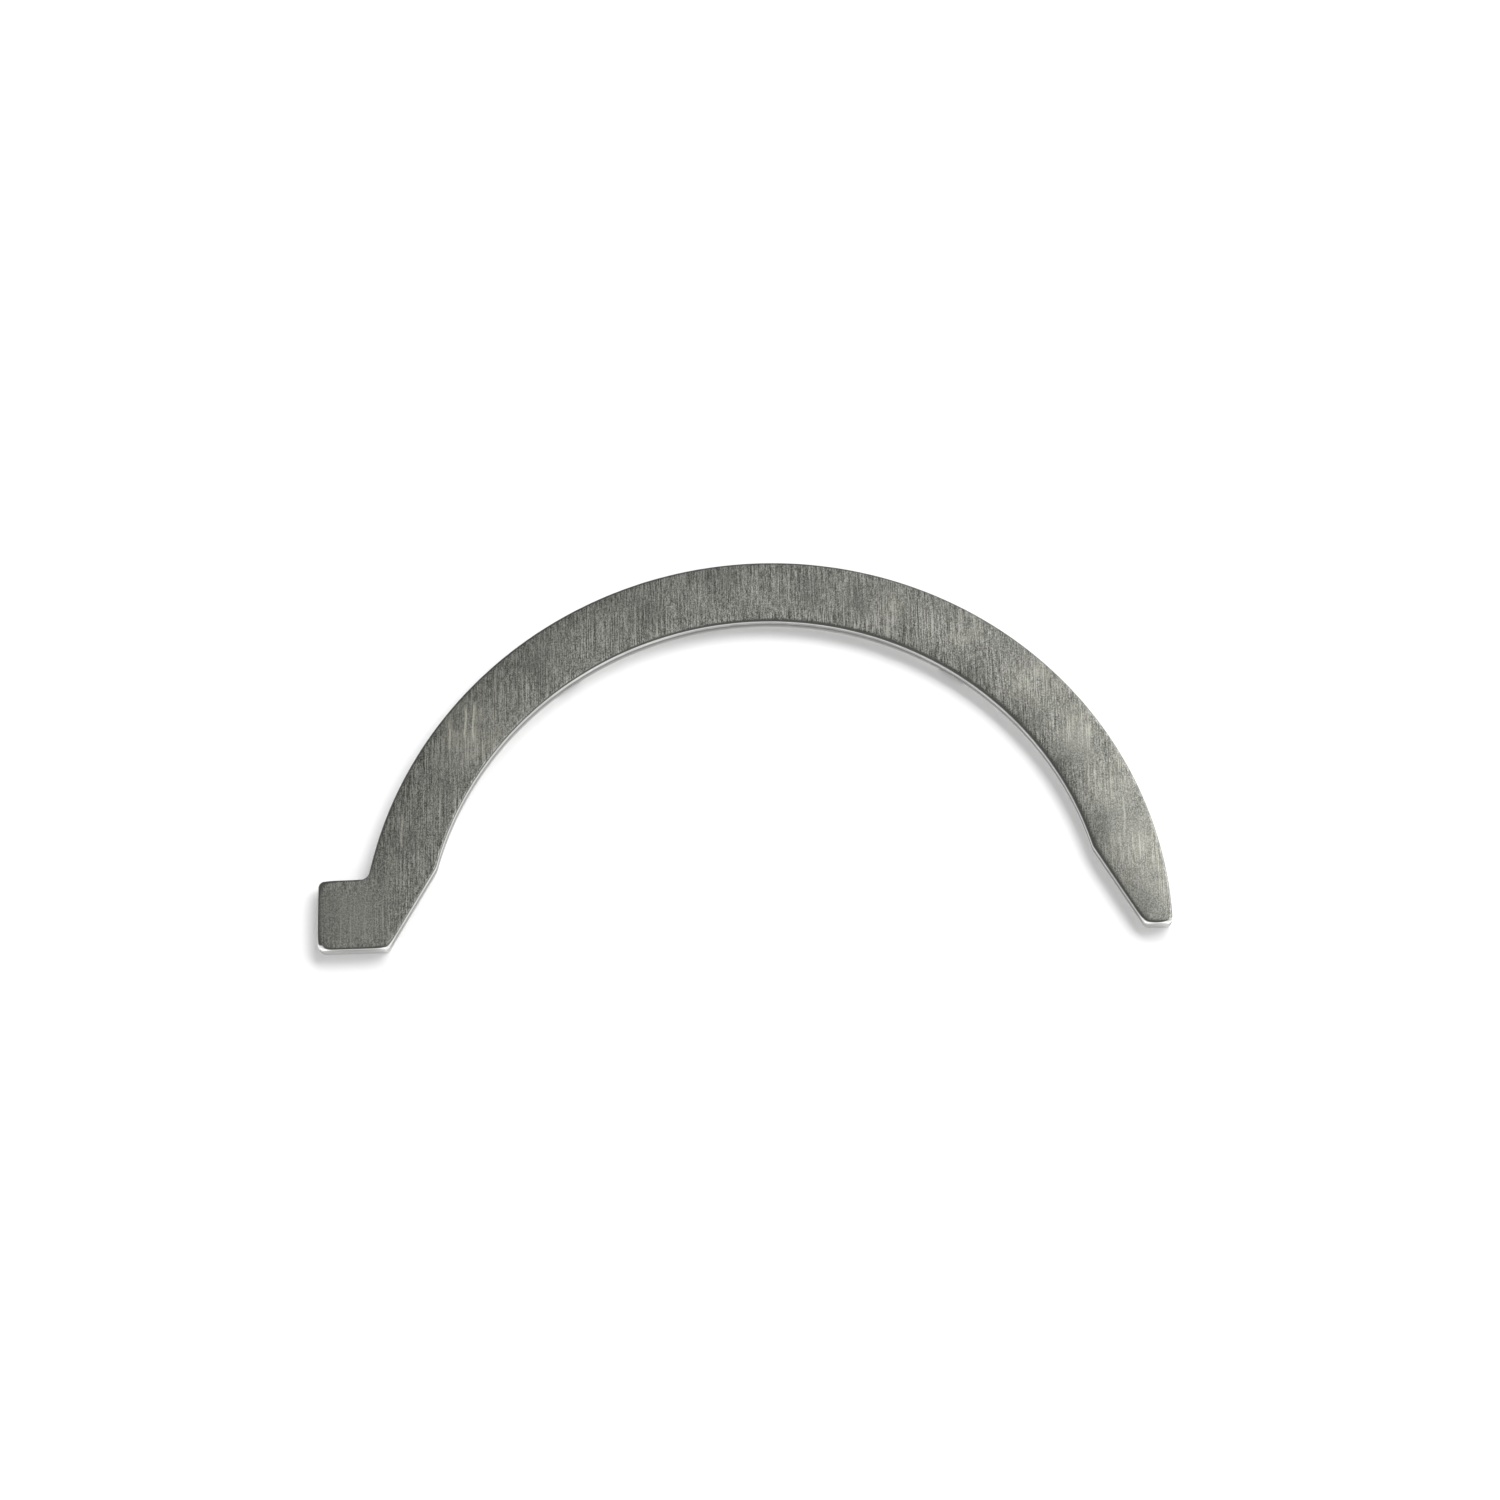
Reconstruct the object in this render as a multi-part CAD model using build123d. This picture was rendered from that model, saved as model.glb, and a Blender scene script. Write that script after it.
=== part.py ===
from build123d import *
import os
from math import radians, sqrt, tan

# Half-moon thrust washer that takes the end thrust of a crankshaft, in millimetres.
# One piece, blanked from steel strip. It stands in the recess beside a main bearing.
#
# The origin is on the crankshaft's axis, in the plane of the running face.
# +X lies along the parting line, with the locating tab at the -X end.
# +Y points to the crown. +Z points from the running face to the steel back.

# Band
outer_radius = 54.0
band_width = 8.7
thickness = 2.3

# Ends. Each stops short of the shaft's centre line, so that two halves never butt together.
end_shortfall = 0.12
end_outer_corner_radius = 0.8

# End reliefs: a slant across the inner corner of each end, which leaves room for oil beside the
# bearing's parting line. The angle is from the shaft's centre plane, and the height from the centre line.
relief_angle = 30.0
relief_height = 11.3
relief_knee_radius = 3.0
relief_end_corner_radius = 0.8

# Locating tab, which stops the washer turning in its recess
tab_reach = 5.75
tab_height = 9.85
tab_upper_corner_radius = 0.8
tab_lower_corner_radius = 1.0
tab_root_radius = 1.1

# Oil grooves on the running face, at equal angles either side of the crown
groove_angle = 35.0
groove_width = 4.0
groove_depth = 0.6

# Edges left by blanking: a rounded roll on the back, and a small broken edge on the running face
die_roll_radius = 0.5
broken_edge = 0.15

inner_radius = outer_radius - band_width


def mirrored(point):
    """The same point at the tab's end of the washer."""
    return -point[0], point[1]


def blank_outline():
    """The flat blank's outline, with every corner rounded to its own radius."""
    knee_x = sqrt(inner_radius**2 - relief_height**2)
    relief_run = (relief_height - end_shortfall) * tan(radians(relief_angle))
    tab_tip_x = -(outer_radius + tab_reach)
    tab_top_y = end_shortfall + tab_height

    end_corner = (sqrt(outer_radius**2 - end_shortfall**2), end_shortfall)
    relief_start = (knee_x + relief_run, end_shortfall)
    knee = (knee_x, relief_height)
    tab_root = (-sqrt(outer_radius**2 - tab_top_y**2), tab_top_y)
    tab_upper_corner = (tab_tip_x, tab_top_y)
    tab_lower_corner = (tab_tip_x, end_shortfall)

    outer_arc = ThreePointArc(end_corner, (0, outer_radius), tab_root)
    tab_end = Polyline(tab_root, tab_upper_corner, tab_lower_corner, mirrored(relief_start), mirrored(knee))
    inner_arc = ThreePointArc(mirrored(knee), (0, inner_radius), knee)
    plain_end = Polyline(knee, relief_start, end_corner)
    outline = make_face(Curve() + [outer_arc, tab_end, inner_arc, plain_end])

    corner_radii = [
        (end_corner, end_outer_corner_radius),
        (relief_start, relief_end_corner_radius),
        (mirrored(relief_start), relief_end_corner_radius),
        (knee, relief_knee_radius),
        (mirrored(knee), relief_knee_radius),
        (tab_root, tab_root_radius),
        (tab_upper_corner, tab_upper_corner_radius),
        (tab_lower_corner, tab_lower_corner_radius),
    ]
    for corner, radius in corner_radii:
        vertex = outline.vertices().sort_by_distance((*corner, 0))[0]
        outline = fillet(vertex, radius)
    return outline


def finish_edges(blank):
    """Round the back's edge as the die leaves it, and break the edge of the running face."""
    back_edges = blank.faces().sort_by(Axis.Z)[-1].outer_wire().edges()
    rolled = fillet(back_edges, die_roll_radius)
    running_edges = rolled.faces().sort_by(Axis.Z)[0].outer_wire().edges()
    return chamfer(running_edges, broken_edge)


def groove_cutter(angle_from_crown):
    """A round bar lying across the band, sunk to the groove's depth in the running face."""
    bar_radius = (groove_width**2 / 4 + groove_depth**2) / (2 * groove_depth)
    bar = Cylinder(bar_radius, 2 * band_width, rotation=(90, 0, 0))
    across_band = Pos(0, (outer_radius + inner_radius) / 2, groove_depth - bar_radius)
    return Rot(0, 0, angle_from_crown) * across_band * bar


def thrust_washer():
    """The blank, its finished edges and the two oil grooves."""
    washer = finish_edges(extrude(blank_outline(), thickness))
    for angle in (-groove_angle, groove_angle):
        washer -= groove_cutter(angle)
    return washer


os.makedirs("parts", exist_ok=True)
export_step(thrust_washer(), "parts/thrust_washer.step")
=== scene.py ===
# %% [markdown]
# # A half-moon thrust washer in linished steel
#
# The part is a flat half ring of steel with a locating tab at one end. It stands in the recess beside
# a crankshaft's main bearing and takes the shaft's end thrust. A press blanks it from strip, then a
# belt linishes its back. Those two operations leave everything that the eye reads: a rounded roll on
# one edge, a sheared wall with a bright and a torn zone, and a short, straight grain on the flat.
#
# The imported model gives the sizes and the place. It is loaded first, and its box is kept.

import math

import bpy
import numpy as np
from mathutils import Matrix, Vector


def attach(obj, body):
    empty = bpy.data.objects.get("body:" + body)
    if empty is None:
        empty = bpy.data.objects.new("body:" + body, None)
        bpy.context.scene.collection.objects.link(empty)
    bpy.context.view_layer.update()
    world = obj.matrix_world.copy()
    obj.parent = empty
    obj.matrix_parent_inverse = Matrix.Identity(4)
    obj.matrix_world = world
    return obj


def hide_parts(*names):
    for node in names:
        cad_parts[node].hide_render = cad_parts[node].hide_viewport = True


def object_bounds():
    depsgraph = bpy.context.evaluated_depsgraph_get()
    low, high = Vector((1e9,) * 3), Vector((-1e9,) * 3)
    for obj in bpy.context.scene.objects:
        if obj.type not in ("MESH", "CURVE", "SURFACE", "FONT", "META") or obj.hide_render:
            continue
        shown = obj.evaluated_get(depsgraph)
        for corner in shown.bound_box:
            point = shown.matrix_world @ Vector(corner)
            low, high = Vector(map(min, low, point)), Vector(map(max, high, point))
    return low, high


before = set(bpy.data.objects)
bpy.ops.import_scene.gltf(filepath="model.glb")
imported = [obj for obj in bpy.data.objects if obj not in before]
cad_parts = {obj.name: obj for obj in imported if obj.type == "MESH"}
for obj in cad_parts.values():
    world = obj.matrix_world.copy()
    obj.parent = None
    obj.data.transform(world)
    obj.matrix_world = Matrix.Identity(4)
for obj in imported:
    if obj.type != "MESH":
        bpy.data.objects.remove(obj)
cad_low, cad_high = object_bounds()
MM = 0.001
print("CAD box in mm:", [round(v / MM, 3) for v in (*cad_low, *cad_high)])

# %% [markdown]
# ## The camera
#
# The photograph looks down on the washer from about 71 degrees above the table, with a long lens and a
# very small roll. A camera could be aimed at a point and turned by eye. Its matrix also holds its three
# axes and its place as columns, so a view that was solved from known points of the part goes in
# directly.

# %% Camera
PHOTO_SIDE = 1500
FOCAL_LENGTH_IN_PIXELS = 5000
SENSOR_WIDTH = 36.0
NEAR_CLIP, FAR_CLIP = 0.01, 20.0
CAMERA_COLUMNS = {
    "right": (0.999153, -0.023236, -0.033951),
    "up": (0.033945, 0.931865, 0.361213),
    "backwards": (0.023244, -0.362060, 0.931865),
    "place": (0.014157, -0.217240, 0.629764),
}

camera_data = bpy.data.cameras.new("photo_camera")
camera_data.sensor_width = SENSOR_WIDTH
camera_data.lens = FOCAL_LENGTH_IN_PIXELS * SENSOR_WIDTH / PHOTO_SIDE
camera_data.clip_start, camera_data.clip_end = NEAR_CLIP, FAR_CLIP
camera = bpy.data.objects.new("photo_camera", camera_data)
bpy.context.scene.collection.objects.link(camera)
camera.matrix_world = Matrix([*zip(*CAMERA_COLUMNS.values()), (0, 0, 0, 1)])
bpy.context.scene.camera = camera
bpy.context.scene.view_settings.view_transform = "Standard"
print("lens in mm:", camera_data.lens)

# %% [markdown]
# ## Helpers for nodes
#
# Shaders and Geometry Nodes are both trees of nodes. `put` adds one node, sets its own settings, and
# fills its inputs: a socket is linked, and anything else is typed in as the value. The rest are short
# names for the nodes that do arithmetic, so that a tree reads like the sum it stands for.

# %% Node helpers
NODE_WIDTH, NODE_HEIGHT, NODES_IN_A_ROW = 200, 260, 12
MEASURES = {"DOT_PRODUCT", "DISTANCE", "LENGTH"}


def put(tree, kind, inputs=None, **settings):
    """Adds a node, and returns it. Inputs are named by their name or number."""
    made = tree.nodes.new(kind)
    row, column = divmod(len(tree.nodes), NODES_IN_A_ROW)
    made.location = (NODE_WIDTH * column, -NODE_HEIGHT * row)
    for name, value in settings.items():
        setattr(made, name, value)
    for key, value in (inputs or {}).items():
        if isinstance(value, bpy.types.NodeSocket):
            tree.links.new(value, made.inputs[key])
        else:
            made.inputs[key].default_value = value
    return made


def math_of(tree, operation, *values):
    """The result of a Math node."""
    return put(tree, "ShaderNodeMath", dict(enumerate(values)), operation=operation).outputs[0]


def times(tree, first, *others):
    """The product of two or more values."""
    for other in others:
        first = math_of(tree, "MULTIPLY", first, other)
    return first


def plus(tree, first, *others):
    """The sum of two or more values."""
    for other in others:
        first = math_of(tree, "ADD", first, other)
    return first


def minus(tree, first, second):
    """What is left of the first value."""
    return math_of(tree, "SUBTRACT", first, second)


def vector_of(tree, operation, *vectors):
    """The result of a Vector Math node: a value where it measures, and a vector otherwise."""
    made = put(tree, "ShaderNodeVectorMath", dict(enumerate(vectors)), operation=operation)
    return made.outputs["Value" if operation in MEASURES else "Vector"]


def scaled(tree, vector, by):
    """A vector made longer or shorter."""
    return put(tree, "ShaderNodeVectorMath", {0: vector, "Scale": by}, operation="SCALE").outputs[0]


def vector_from(tree, x=0.0, y=0.0, z=0.0):
    """A vector put together from its three parts."""
    return put(tree, "ShaderNodeCombineXYZ", {0: x, 1: y, 2: z}).outputs[0]


def axes_of(tree, vector):
    """The X, Y and Z of a vector."""
    return put(tree, "ShaderNodeSeparateXYZ", {0: vector}).outputs


def ramp_of(tree, value, low, high, to_low=0.0, to_high=1.0):
    """A value carried from one range to another, held at its ends."""
    inputs = {"Value": value, "From Min": low, "From Max": high, "To Min": to_low, "To Max": to_high}
    return put(tree, "ShaderNodeMapRange", inputs).outputs[0]


def between(tree, amount, first, second):
    """A value between two values."""
    return put(tree, "ShaderNodeMix", {0: amount, 2: first, 3: second}, data_type="FLOAT").outputs[0]

# %% [markdown]
# ## The floor
#
# The washer lies on a plain white table. The floor is one large plane just under the running face. It
# is white by its own colour, and a faint glow that only a looking ray meets brings it to the white of
# the photograph's background, so no lamp has to be turned up for it and the shadow stays.
#
# Seen from below it lets the view through. It also lets a ray through that has come less than a tenth
# of a millimetre, which is one that has left the running face. So that face can be looked at in full
# light too.

# %% Floor
FLOOR_SIDE = 6.0
FLOOR_GAP = 0.00002
FLOOR_GLOW = 0.03
NEXT_TO_FLOOR = 0.0001
TABLE_WHITE, PURE_WHITE = (0.93, 0.93, 0.93, 1), (1, 1, 1, 1)


def new_material(name):
    """A material and its empty tree."""
    made = bpy.data.materials.new(name)
    made.use_nodes = True
    made.node_tree.nodes.clear()
    return made, made.node_tree


floor_material, tree = new_material("white_table")
painted = put(tree, "ShaderNodeBsdfDiffuse", {"Color": TABLE_WHITE}).outputs[0]
ray = put(tree, "ShaderNodeLightPath").outputs
looked_at = math_of(tree, "MAXIMUM", ray["Is Camera Ray"],
                    math_of(tree, "MAXIMUM", ray["Is Glossy Ray"], ray["Is Transmission Ray"]))
glow = put(tree, "ShaderNodeEmission",
           {"Color": PURE_WHITE, "Strength": times(tree, looked_at, FLOOR_GLOW)}).outputs[0]
white = put(tree, "ShaderNodeAddShader", {0: painted, 1: glow}).outputs[0]
clear = put(tree, "ShaderNodeBsdfTransparent").outputs[0]
from_below = put(tree, "ShaderNodeNewGeometry").outputs["Backfacing"]
just_left = math_of(tree, "LESS_THAN", ray["Ray Length"], NEXT_TO_FLOOR)
let_through = math_of(tree, "MAXIMUM", from_below, just_left)
seen = put(tree, "ShaderNodeMixShader", {0: let_through, 1: white, 2: clear}).outputs[0]
put(tree, "ShaderNodeOutputMaterial", {"Surface": seen})

floor_mesh = bpy.data.meshes.new("table_top")
half = FLOOR_SIDE / 2
corners = [(-half, -half), (half, -half), (half, half), (-half, half)]
floor_mesh.from_pydata([(x, y, cad_low.z - FLOOR_GAP) for x, y in corners], [], [(0, 1, 2, 3)])
floor_mesh.materials.append(floor_material)
floor = bpy.data.objects.new("table_top", floor_mesh)
bpy.context.scene.collection.objects.link(floor)
print("floor at z in mm:", round((cad_low.z - FLOOR_GAP) / MM, 3))

# %% [markdown]
# ## The light
#
# Bare metal shows its surroundings more than its own colour. The photograph's washer lies in a soft
# studio: the room is dim straight overhead, where the camera is, and brighter low down. It is
# brightest low on the near left, where a white card stands, and the corners and end faces on that
# side mirror it. The room is a world shader that reads only the direction of the ray. A picture of a
# room could do the same, but the washer can't show that much of one.
#
# Two wide, soft lamps do one job each, as a photographer sets them. Both stand on the right. The one
# further back lights the table alone, so it gives the shadow that falls to the lower left. The other
# is mirrored by the metal alone, and gives the sheen that fades from the right end to the tab.

# %% World
OVERHEAD, LOW_BRIGHT, LOW_DIM = 0.33, 0.95, 0.38
LOW_ENDS, OVERHEAD_STARTS = 0.45, 0.98
BRIGHT_SIDE = (-0.45, -0.89, 0.0)
MOST_BRIGHT, MOST_DIM = 0.8, -0.8
CARD_LIGHT, CARD_SIDES, CARD_TOP = 0.55, (0.65, 0.90), (0.55, 0.35)

world = bpy.data.worlds.new("soft_room")
bpy.context.scene.world = world
world.use_nodes = True
tree = world.node_tree
tree.nodes.clear()
direction = put(tree, "ShaderNodeTexCoord").outputs["Generated"]
upwards = axes_of(tree, direction)["Z"]
to_bright_side = vector_of(tree, "DOT_PRODUCT", direction, BRIGHT_SIDE)
low_light = ramp_of(tree, to_bright_side, MOST_BRIGHT, MOST_DIM, LOW_BRIGHT, LOW_DIM)
room = between(tree, ramp_of(tree, upwards, LOW_ENDS, OVERHEAD_STARTS), low_light, OVERHEAD)
on_card = times(tree, ramp_of(tree, to_bright_side, *CARD_SIDES), ramp_of(tree, upwards, *CARD_TOP))
level = plus(tree, room, times(tree, on_card, CARD_LIGHT))
background = put(tree, "ShaderNodeBackground", {"Color": PURE_WHITE, "Strength": level}).outputs[0]
put(tree, "ShaderNodeOutputWorld", {"Surface": background})
print("the room's light is", OVERHEAD, "overhead, and up to", LOW_BRIGHT + CARD_LIGHT, "low down")

# %% Lamps
TABLE_LAMP = {"place": (0.70, 0.81, 0.95), "size": (1.60, 0.70), "power": 25.0}
METAL_LAMP = {"place": (0.75, 0.38, 0.88), "size": (0.80, 0.80), "power": 16.5}


def soft_lamp(name, place, size, power):
    """A flat lamp that faces the washer."""
    data = bpy.data.lights.new(name, "AREA")
    data.shape, data.energy = "RECTANGLE", power
    data.size, data.size_y = size
    made = bpy.data.objects.new(name, data)
    bpy.context.scene.collection.objects.link(made)
    made.location = place
    made.rotation_mode = "QUATERNION"
    made.rotation_quaternion = made.location.to_track_quat("Z", "Y")
    print(name, "stands", round(made.location.length, 2), "m away")
    return made


soft_lamp("table_lamp", **TABLE_LAMP).visible_glossy = False
soft_lamp("metal_lamp", **METAL_LAMP).visible_diffuse = False

# %% [markdown]
# ## The outline
#
# The blank's outline is a closed path of arcs joined by straight runs. It could be drawn as a curve by
# hand, but then no size could be read from it or changed. So each arc is written as a centre, a radius,
# and the directions it starts and ends in, and the straight runs are simply what lies between. The
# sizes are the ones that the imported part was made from, in millimetres.
#
# Going round with the metal on the left, a convex arc turns left and a hollow one turns right. The
# direction that points out of the metal is kept with each point, since the edge is built along it.

# %% Outline sizes
OUTER_RADIUS, BAND_WIDTH, THICKNESS = 54.0, 8.7, 2.3
END_SHORTFALL, END_OUTER_CORNER = 0.12, 0.8
RELIEF_ANGLE, RELIEF_HEIGHT, RELIEF_KNEE, RELIEF_END_CORNER = 30.0, 11.3, 3.0, 0.8
TAB_REACH, TAB_HEIGHT = 5.75, 9.85
TAB_UPPER_CORNER, TAB_LOWER_CORNER, TAB_ROOT = 0.8, 1.0, 1.1
INNER_RADIUS = OUTER_RADIUS - BAND_WIDTH


def unit(degrees):
    """The direction at an angle from the right, one long."""
    return np.array([math.cos(math.radians(degrees)), math.sin(math.radians(degrees))])


def angle_of(vector):
    """The angle from the right at which a direction points."""
    return math.degrees(math.atan2(vector[1], vector[0]))


def mirrored(point):
    """The same point on the other side of the ring."""
    return np.array([-point[0], point[1]])


# %% Arc centres
knee_x = math.sqrt(INNER_RADIUS**2 - RELIEF_HEIGHT**2)
relief_run = (RELIEF_HEIGHT - END_SHORTFALL) * math.tan(math.radians(RELIEF_ANGLE))
relief_start = np.array([knee_x + relief_run, END_SHORTFALL])
relief_normal = unit(180 + RELIEF_ANGLE)
relief_along = unit(90 + RELIEF_ANGLE)

end_radius = OUTER_RADIUS - END_OUTER_CORNER
end_y = END_SHORTFALL + END_OUTER_CORNER
end_centre = np.array([math.sqrt(end_radius**2 - end_y**2), end_y])

root_radius = OUTER_RADIUS + TAB_ROOT
root_y = END_SHORTFALL + TAB_HEIGHT + TAB_ROOT
root_centre = np.array([-math.sqrt(root_radius**2 - root_y**2), root_y])

tab_tip = -(OUTER_RADIUS + TAB_REACH)
upper_centre = np.array([tab_tip + TAB_UPPER_CORNER, END_SHORTFALL + TAB_HEIGHT - TAB_UPPER_CORNER])
lower_centre = np.array([tab_tip + TAB_LOWER_CORNER, END_SHORTFALL + TAB_LOWER_CORNER])

# The relief's end corner touches the slant and the end face, so its centre is one radius inside both.
up_the_slant = RELIEF_END_CORNER * (1 + relief_normal[1]) / relief_along[1]
relief_centre = relief_start - relief_normal * RELIEF_END_CORNER + relief_along * up_the_slant

# The knee's centre is one radius inside the slant, and that much further out than the inner arc.
beside_slant = relief_start - relief_normal * RELIEF_KNEE
half_b = beside_slant @ relief_along
short_of = beside_slant @ beside_slant - (INNER_RADIUS + RELIEF_KNEE) ** 2
knee_centre = beside_slant + relief_along * (-half_b - math.sqrt(half_b**2 - short_of))
print("corner centres in mm:", relief_centre.round(3), end_centre.round(3), knee_centre.round(3))

# %% Walk round the outline
SPACING = 0.2
WIDEST_TURN = 6.0
TOUCHING = 1e-9


def arc(centre, radius, first, last, facing=1):
    """Points of an arc and the outward directions there. Facing is -1 where the metal lies outside."""
    turn = abs(last - first)
    steps = max(math.ceil(turn / WIDEST_TURN), math.ceil(math.radians(turn) * radius / SPACING))
    rays = np.array([unit(a) for a in np.linspace(first, last, steps + 1)])
    return centre + rays * radius, rays * facing


ring_centre = np.zeros(2)
end_at, root_at, knee_at = angle_of(end_centre), angle_of(root_centre), angle_of(knee_centre)
arcs = [  # each with the width of its die roll
    (0.36, arc(relief_centre, RELIEF_END_CORNER, 180 + RELIEF_ANGLE, 270)),
    (0.30, arc(end_centre, END_OUTER_CORNER, -90, end_at)),
    (0.42, arc(ring_centre, OUTER_RADIUS, end_at, root_at)),
    (0.50, arc(root_centre, TAB_ROOT, root_at - 180, -90, facing=-1)),
    (0.40, arc(upper_centre, TAB_UPPER_CORNER, 90, 180)),
    (0.35, arc(lower_centre, TAB_LOWER_CORNER, 180, 270)),
    (0.40, arc(mirrored(relief_centre), RELIEF_END_CORNER, 270, 360 - RELIEF_ANGLE)),
    (0.45, arc(mirrored(knee_centre), RELIEF_KNEE, -RELIEF_ANGLE, -knee_at)),
    (0.55, arc(ring_centre, INNER_RADIUS, 180 - knee_at, knee_at, facing=-1)),
    (0.55, arc(knee_centre, RELIEF_KNEE, 180 + knee_at, 180 + RELIEF_ANGLE)),
]

rim, outward, own_roll = [], [], []
for (roll, (points, rays)), (next_roll, (next_points, _)) in zip(arcs, arcs[1:] + arcs[:1]):
    run = next_points[0] - points[-1]
    steps = max(1, math.ceil(np.linalg.norm(run) / SPACING))
    joined = [points[-1] + run * k / steps for k in range(1, steps)]
    if np.linalg.norm(run) < TOUCHING:
        points, rays = points[:-1], rays[:-1]
    rim += [*points, *joined]
    outward += [*rays, *([rays[-1]] * len(joined))]
    own_roll += [roll] * len(points) + [roll + (next_roll - roll) * k / steps for k in range(1, steps)]
rim, outward, own_roll = np.array(rim), np.array(outward), np.array(own_roll)
print(len(rim), "points round the outline; longest step",
      round(np.linalg.norm(np.roll(rim, -1, 0) - rim, axis=1).max(), 3), "mm")

# %% [markdown]
# ## The die roll round the outline
#
# When the punch comes down, the edge of the strip is drawn over before it shears. A Bevel modifier
# would give that roll one width all round, but a real one isn't one size. A convex corner is drawn over
# from two sides and rolls most, and a hollow corner hardly rolls at all, so the roll follows how far the
# outline turns close to each point. It is also wider where the wall faces left and narrower where it
# faces right, as when the punch stands a little to one side in its die.
#
# The direction it leans in is the outward one, evened out over a short stretch, which keeps the flat's
# border from folding over itself at a small corner.

# %% Roll width, depth and lean at each point
CORNER_REACH, LEAN_REACH = 0.9, 1.1
CONVEX_GAIN, HOLLOW_LOSS = 1.4, 0.8
WIDER_ON_LEFT, NARROWER_ON_RIGHT, DRAWN_TO_ONE_SIDE = 0.30, 0.60, 0.75
DEPTH_FOR_WIDTH, DEEPER_AT_CORNERS = 0.9, 0.6
BORDER = 0.25

step = np.linalg.norm(np.roll(rim, -1, 0) - rim, axis=1)
along = np.concatenate([[0], np.cumsum(step)[:-1]])
total = step.sum()
apart = np.abs(along[:, None] - along[None, :])
apart = np.minimum(apart, total - apart)

before, after = np.roll(outward, 1, 0), np.roll(outward, -1, 0)
turning = np.arcsin(np.clip(before[:, 0] * after[:, 1] - before[:, 1] * after[:, 0], -1, 1)) / 2
nearness = np.exp(-0.5 * (apart / CORNER_REACH) ** 2)
corner = nearness @ turning / (math.pi / 2)
growth = 1 + np.where(corner > 0, CONVEX_GAIN, HOLLOW_LOSS) * corner

share = np.exp(-0.5 * (apart / LEAN_REACH) ** 2) * ((step + np.roll(step, 1)) / 2)[None, :]
lean = share @ outward
lean /= np.linalg.norm(lean, axis=1)[:, None]
to_the_side = np.where(lean[:, 0] > 0, NARROWER_ON_RIGHT, WIDER_ON_LEFT) * lean[:, 0]
own_roll = share @ own_roll / share.sum(axis=1) * (1 - to_the_side)
roll_width = own_roll * growth
roll_drop = DEPTH_FOR_WIDTH * own_roll * (1 + DEEPER_AT_CORNERS * (growth - 1))
draw_share = 1 - DRAWN_TO_ONE_SIDE * lean[:, 0]

flat_border = rim - lean * (roll_width + BORDER)[:, None]
border_step = np.roll(flat_border, -1, 0) - flat_border
rim_step = np.roll(rim, -1, 0) - rim
print("outline length in mm:", round(total, 2), "; roll width from", round(roll_width.min(), 2),
      "to", round(roll_width.max(), 2), "; deepest", round(roll_drop.max(), 2), "; folded steps:",
      int(((border_step * rim_step).sum(axis=1) <= 0).sum()))

# %% [markdown]
# ## Painted highlights on corners, and trimmed end faces
#
# Two kinds of place on the wall shine more than the rest. The convex corners that face the near side
# carry a painted highlight: a colour near white stands in for the bright crescents they mirror. The two
# end faces, which come together with the other half's, are trimmed after blanking, so they are bright
# and smooth down to the foot, and their pale colour is partly painted light as well. Both follow from
# the direction of the outline, so each point gets a value for them here, and the material only has to
# read it.

# %% Corner and end-face values at each point
NEAR_SIDE_GAIN = 1.4
END_FACE_FROM, END_FACE_BLEND, END_FACE_BELOW = 0.7, 0.25, 2.0

# The corner value is a painted highlight, strongest at convex corners that face the near side.
facing_near = -lean[:, 1]
painted_corner_highlight = np.clip(corner, 0, 1) * np.clip(NEAR_SIDE_GAIN * facing_near, 0, 1)
end_face = np.clip((facing_near - END_FACE_FROM) / END_FACE_BLEND, 0, 1) * (rim[:, 1] < END_FACE_BELOW)
print("brightest corner:", round(painted_corner_highlight.max(), 2), "; points on the end faces:", int(end_face.sum()))

# %% [markdown]
# ## The sheet inside the border
#
# Blanking also draws the back down for a few millimetres in from the rim, by less than a fifth of a
# millimetre. That is far too little to see as a shape, yet it bends the reflections, and the band looks
# darker along one side. A flat filled from its border alone has no points in its middle to lower. So the
# sheet is triangulated over a fine grid of points, and each point keeps its distance from the rim and
# the share of the nearest point there.

# %% Grid and triangles of the back
from mathutils import Vector
from mathutils.geometry import delaunay_2d_cdt

GRID, ROW_SHARE, CLEAR_SHARE = 0.55, 0.866, 0.6
INSIDE_ONLY, SAME_POINT, LEVEL = 1, 1e-6, 1e-12


def inside(points, border):
    """Whether a ray to the right from each point crosses the closed border an odd number of times."""
    tail, head = border, np.roll(border, -1, 0)
    x, y = points[:, 0, None], points[:, 1, None]
    spans = (tail[:, 1] > y) != (head[:, 1] > y)
    rise = head[:, 1] - tail[:, 1]
    slope = (head[:, 0] - tail[:, 0]) / np.where(rise == 0, LEVEL, rise)
    return (spans & (x < tail[:, 0] + (y - tail[:, 1]) * slope)).sum(axis=1) % 2 == 1


low, high = rim.min(axis=0), rim.max(axis=0)
columns = np.arange(low[0] + GRID / 2, high[0], GRID)
rows = np.arange(low[1] + GRID / 2, high[1], GRID * ROW_SHARE)
grid = np.array([(x + GRID / 2 * (j % 2), y) for j, y in enumerate(rows) for x in columns])
grid = grid[inside(grid, flat_border)]
clearance = (GRID * CLEAR_SHARE) ** 2
grid = grid[[((flat_border - p) ** 2).sum(axis=1).min() > clearance for p in grid]]
count = len(flat_border)
flat_points, _, flat_faces, *_ = delaunay_2d_cdt(
    [Vector(p) for p in (*flat_border, *grid)], [], [list(range(count))], INSIDE_ONLY, SAME_POINT)
flat_points = np.array(flat_points)
nearest = np.array([((rim - p) ** 2).sum(axis=1).argmin() for p in flat_points])
nearest[:count] = range(count)
from_rim = np.linalg.norm(flat_points - rim[nearest], axis=1)
from_rim[:count] = roll_width + BORDER
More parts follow.
